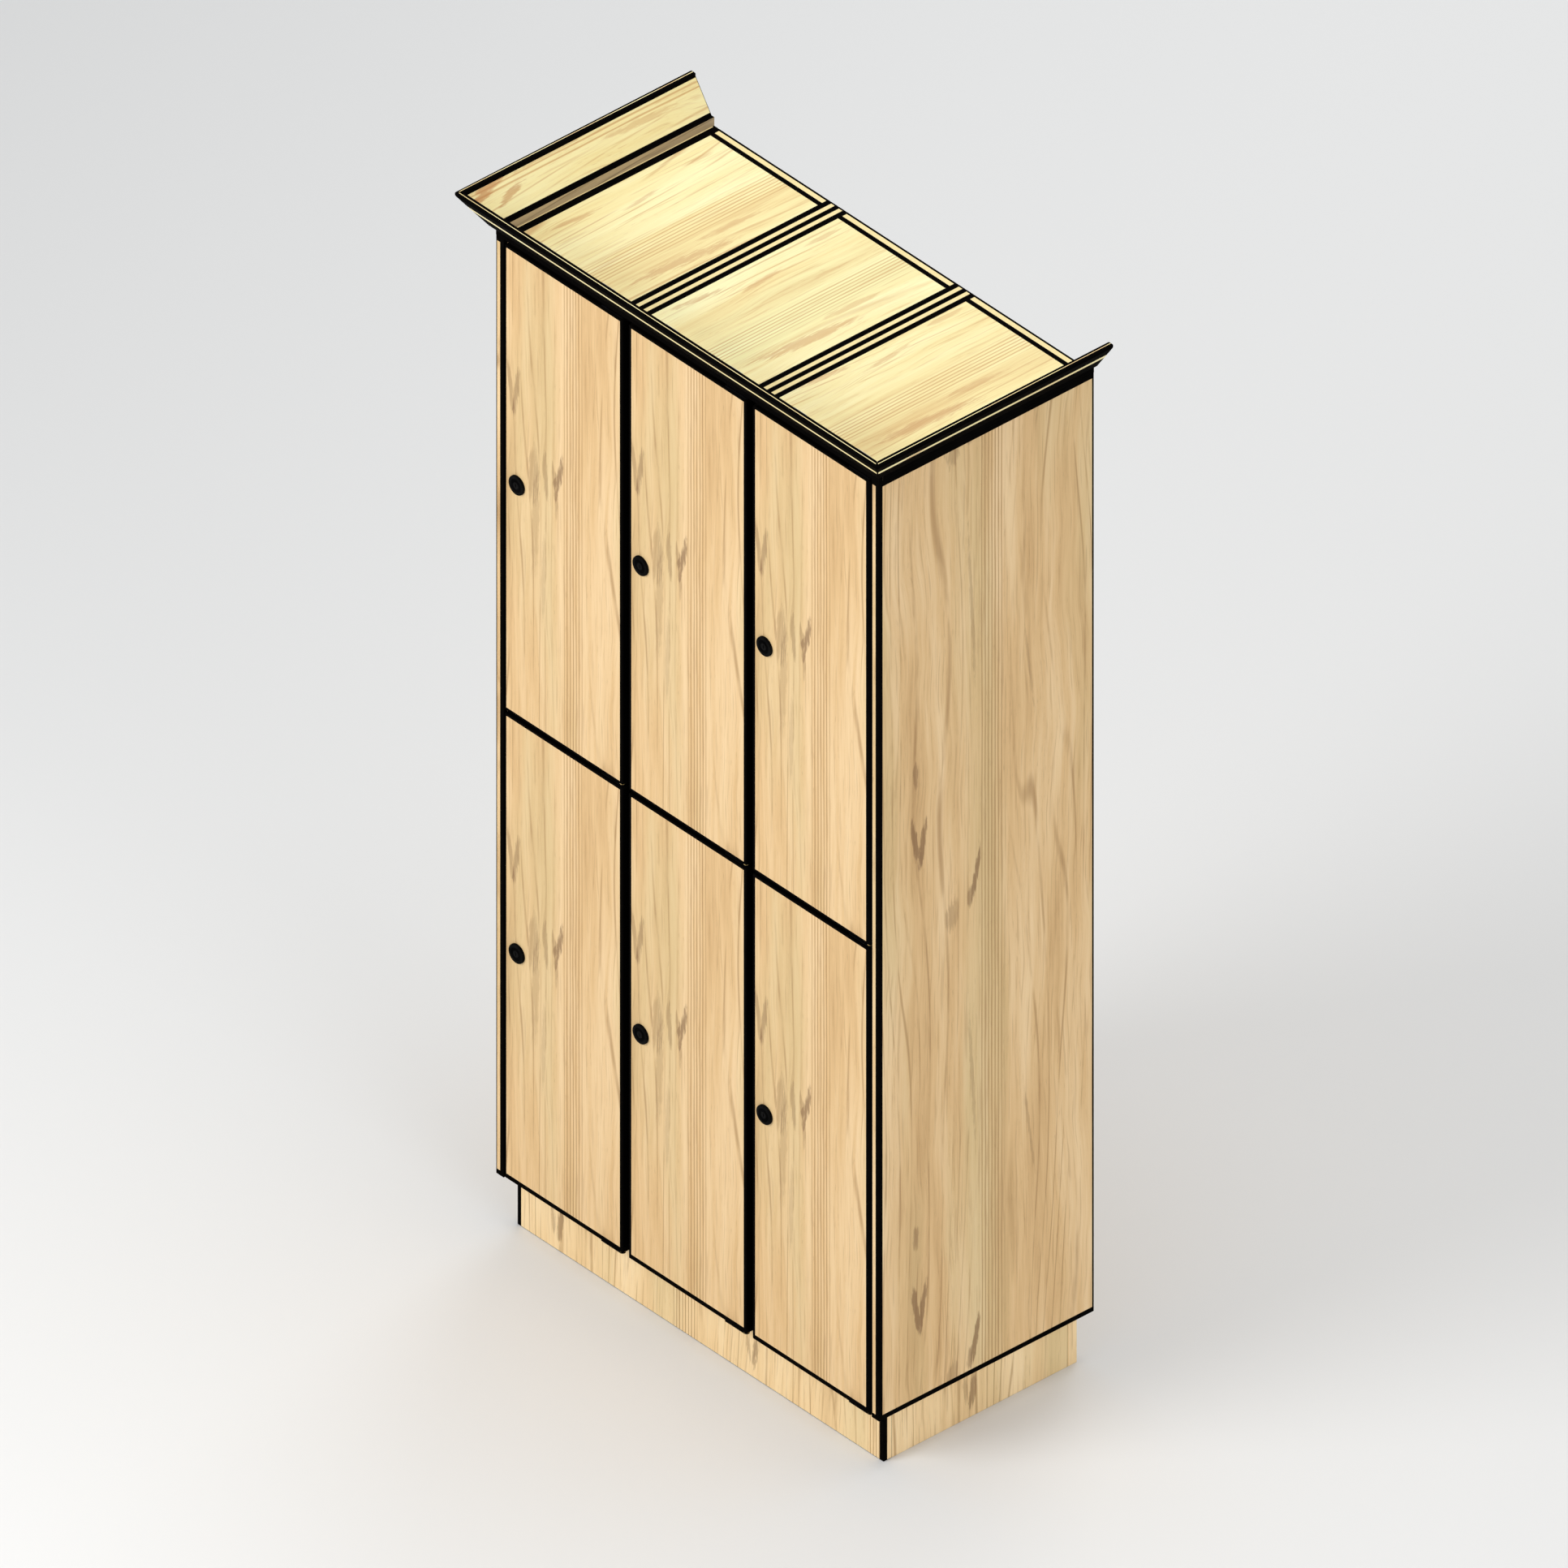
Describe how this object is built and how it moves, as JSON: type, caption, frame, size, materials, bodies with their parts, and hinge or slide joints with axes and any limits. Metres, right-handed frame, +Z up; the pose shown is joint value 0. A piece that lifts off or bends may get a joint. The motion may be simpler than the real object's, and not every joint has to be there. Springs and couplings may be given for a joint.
{
  "type": "coin operated locker",
  "caption": "Free-standing pale oak locker block with hinged doors in two tiers, coin-return locks, a recessed plinth and a leaning cornice.",
  "frame": {"origin": "middle of the footprint on the floor, at the centre of the bounding box's base", "axes": "+X to the right seen from the front, +Y to the back, +Z up"},
  "size_m": [0.992, 0.496, 1.978],
  "materials": {
    "oak_carcass": "satin, pale oak with the grain running up",
    "oak_panel_light": "satin, pale oak, lighter",
    "oak_cornice": "satin, pale oak with the grain along its length",
    "oak_plinth": "satin, pale oak",
    "oak_door": "satin, pale oak with the grain running up, dark edging",
    "lock_case_plastic": "matte moulded plastic",
    "lock_black": "satin black",
    "lock_plug_metal": "satin black, worn at the keyway",
    "bracket_steel": "zinc plated",
    "hinge_steel": "black powder coat",
    "washer_brass": "plain brass",
    "slide_acetal": "moulded acetal, satin",
    "foot_plastic": "matte black plastic"
  },
  "bodies": {
    "carcass": {"end_panel_left": "oak_carcass", "end_panel_right": "oak_carcass", "column_1_side_right": "oak_carcass", "column_2_side_left": "oak_carcass", "column_2_side_right": "oak_carcass", "column_3_side_left": "oak_carcass", "top_panels": "oak_panel_light", "bottom_panels": "oak_carcass", "tier_shelves": "oak_carcass", "back_panels": "oak_panel_light", "plinth_front": "oak_plinth", "plinth_back": "oak_plinth", "plinth_left": "oak_plinth", "plinth_right": "oak_plinth", "levelling_feet": "foot_plastic", "cornice_front": "oak_cornice", "cornice_left": "oak_cornice", "cornice_right": "oak_cornice", "cornice_base": "oak_cornice", "cornice_brackets": "bracket_steel", "hinge_plates": "hinge_steel", "hinge_washers": "washer_brass", "strike_plates": "bracket_steel", "column_connectors": "bracket_steel"},
    "door_1_lower": {"door_1_lower": "oak_door", "lock_case_1_lower": "lock_case_plastic", "lock_barrel_1_lower": "lock_black"},
    "lock_core_1_lower": {"lock_plug_1_lower": "lock_plug_metal", "lock_cam_1_lower": "bracket_steel"},
    "coin_slide_1_lower": {"coin_slide_1_lower": "slide_acetal"},
    "door_1_upper": {"door_1_upper": "oak_door", "lock_case_1_upper": "lock_case_plastic", "lock_barrel_1_upper": "lock_black"},
    "lock_core_1_upper": {"lock_plug_1_upper": "lock_plug_metal", "lock_cam_1_upper": "bracket_steel"},
    "coin_slide_1_upper": {"coin_slide_1_upper": "slide_acetal"},
    "door_2_lower": {"door_2_lower": "oak_door", "lock_case_2_lower": "lock_case_plastic", "lock_barrel_2_lower": "lock_black"},
    "lock_core_2_lower": {"lock_plug_2_lower": "lock_plug_metal", "lock_cam_2_lower": "bracket_steel"},
    "coin_slide_2_lower": {"coin_slide_2_lower": "slide_acetal"},
    "door_2_upper": {"door_2_upper": "oak_door", "lock_case_2_upper": "lock_case_plastic", "lock_barrel_2_upper": "lock_black"},
    "lock_core_2_upper": {"lock_plug_2_upper": "lock_plug_metal", "lock_cam_2_upper": "bracket_steel"},
    "coin_slide_2_upper": {"coin_slide_2_upper": "slide_acetal"},
    "door_3_lower": {"door_3_lower": "oak_door", "lock_case_3_lower": "lock_case_plastic", "lock_barrel_3_lower": "lock_black"},
    "lock_core_3_lower": {"lock_plug_3_lower": "lock_plug_metal", "lock_cam_3_lower": "bracket_steel"},
    "coin_slide_3_lower": {"coin_slide_3_lower": "slide_acetal"},
    "door_3_upper": {"door_3_upper": "oak_door", "lock_case_3_upper": "lock_case_plastic", "lock_barrel_3_upper": "lock_black"},
    "lock_core_3_upper": {"lock_plug_3_upper": "lock_plug_metal", "lock_cam_3_upper": "bracket_steel"},
    "coin_slide_3_upper": {"coin_slide_3_upper": "slide_acetal"}
  },
  "joints": [
    {"name": "door_1_lower_hinge", "type": "hinge", "parent": "carcass", "child": "door_1_lower", "pos_m": [-0.159, -0.196, 0.1], "axis": [0, 0, 1], "range_deg": [0, 105]},
    {"name": "lock_1_lower_turn", "type": "hinge", "parent": "door_1_lower", "child": "lock_core_1_lower", "pos_m": [-0.399, -0.202, 0.5485], "axis": [0, 1, 0], "range_deg": [0, 90]},
    {"name": "coin_1_lower_slide", "type": "slide", "parent": "door_1_lower", "child": "coin_slide_1_lower", "axis": [0, 0, 1], "range_m": [0, 0.008]},
    {"name": "door_1_upper_hinge", "type": "hinge", "parent": "carcass", "child": "door_1_upper", "pos_m": [-0.159, -0.196, 0.1], "axis": [0, 0, 1], "range_deg": [0, 105]},
    {"name": "lock_1_upper_turn", "type": "hinge", "parent": "door_1_upper", "child": "lock_core_1_upper", "pos_m": [-0.399, -0.202, 1.4465], "axis": [0, 1, 0], "range_deg": [0, 90]},
    {"name": "coin_1_upper_slide", "type": "slide", "parent": "door_1_upper", "child": "coin_slide_1_upper", "axis": [0, 0, 1], "range_m": [0, 0.008]},
    {"name": "door_2_lower_hinge", "type": "hinge", "parent": "carcass", "child": "door_2_lower", "pos_m": [0.132, -0.196, 0.1], "axis": [0, 0, 1], "range_deg": [0, 105]},
    {"name": "lock_2_lower_turn", "type": "hinge", "parent": "door_2_lower", "child": "lock_core_2_lower", "pos_m": [-0.108, -0.202, 0.5485], "axis": [0, 1, 0], "range_deg": [0, 90]},
    {"name": "coin_2_lower_slide", "type": "slide", "parent": "door_2_lower", "child": "coin_slide_2_lower", "axis": [0, 0, 1], "range_m": [0, 0.008]},
    {"name": "door_2_upper_hinge", "type": "hinge", "parent": "carcass", "child": "door_2_upper", "pos_m": [0.132, -0.196, 0.1], "axis": [0, 0, 1], "range_deg": [0, 105]},
    {"name": "lock_2_upper_turn", "type": "hinge", "parent": "door_2_upper", "child": "lock_core_2_upper", "pos_m": [-0.108, -0.202, 1.4465], "axis": [0, 1, 0], "range_deg": [0, 90]},
    {"name": "coin_2_upper_slide", "type": "slide", "parent": "door_2_upper", "child": "coin_slide_2_upper", "axis": [0, 0, 1], "range_m": [0, 0.008]},
    {"name": "door_3_lower_hinge", "type": "hinge", "parent": "carcass", "child": "door_3_lower", "pos_m": [0.423, -0.196, 0.1], "axis": [0, 0, 1], "range_deg": [0, 105]},
    {"name": "lock_3_lower_turn", "type": "hinge", "parent": "door_3_lower", "child": "lock_core_3_lower", "pos_m": [0.183, -0.202, 0.5485], "axis": [0, 1, 0], "range_deg": [0, 90]},
    {"name": "coin_3_lower_slide", "type": "slide", "parent": "door_3_lower", "child": "coin_slide_3_lower", "axis": [0, 0, 1], "range_m": [0, 0.008]},
    {"name": "door_3_upper_hinge", "type": "hinge", "parent": "carcass", "child": "door_3_upper", "pos_m": [0.423, -0.196, 0.1], "axis": [0, 0, 1], "range_deg": [0, 105]},
    {"name": "lock_3_upper_turn", "type": "hinge", "parent": "door_3_upper", "child": "lock_core_3_upper", "pos_m": [0.183, -0.202, 1.4465], "axis": [0, 1, 0], "range_deg": [0, 90]},
    {"name": "coin_3_upper_slide", "type": "slide", "parent": "door_3_upper", "child": "coin_slide_3_upper", "axis": [0, 0, 1], "range_m": [0, 0.008]}
  ],
  "couplings": [
    {"joint": "coin_1_lower_slide", "follows": "lock_1_lower_turn", "m_per_rad": 0.005},
    {"joint": "coin_1_upper_slide", "follows": "lock_1_upper_turn", "m_per_rad": 0.005},
    {"joint": "coin_2_lower_slide", "follows": "lock_2_lower_turn", "m_per_rad": 0.005},
    {"joint": "coin_2_upper_slide", "follows": "lock_2_upper_turn", "m_per_rad": 0.005},
    {"joint": "coin_3_lower_slide", "follows": "lock_3_lower_turn", "m_per_rad": 0.005},
    {"joint": "coin_3_upper_slide", "follows": "lock_3_upper_turn", "m_per_rad": 0.005}
  ]
}
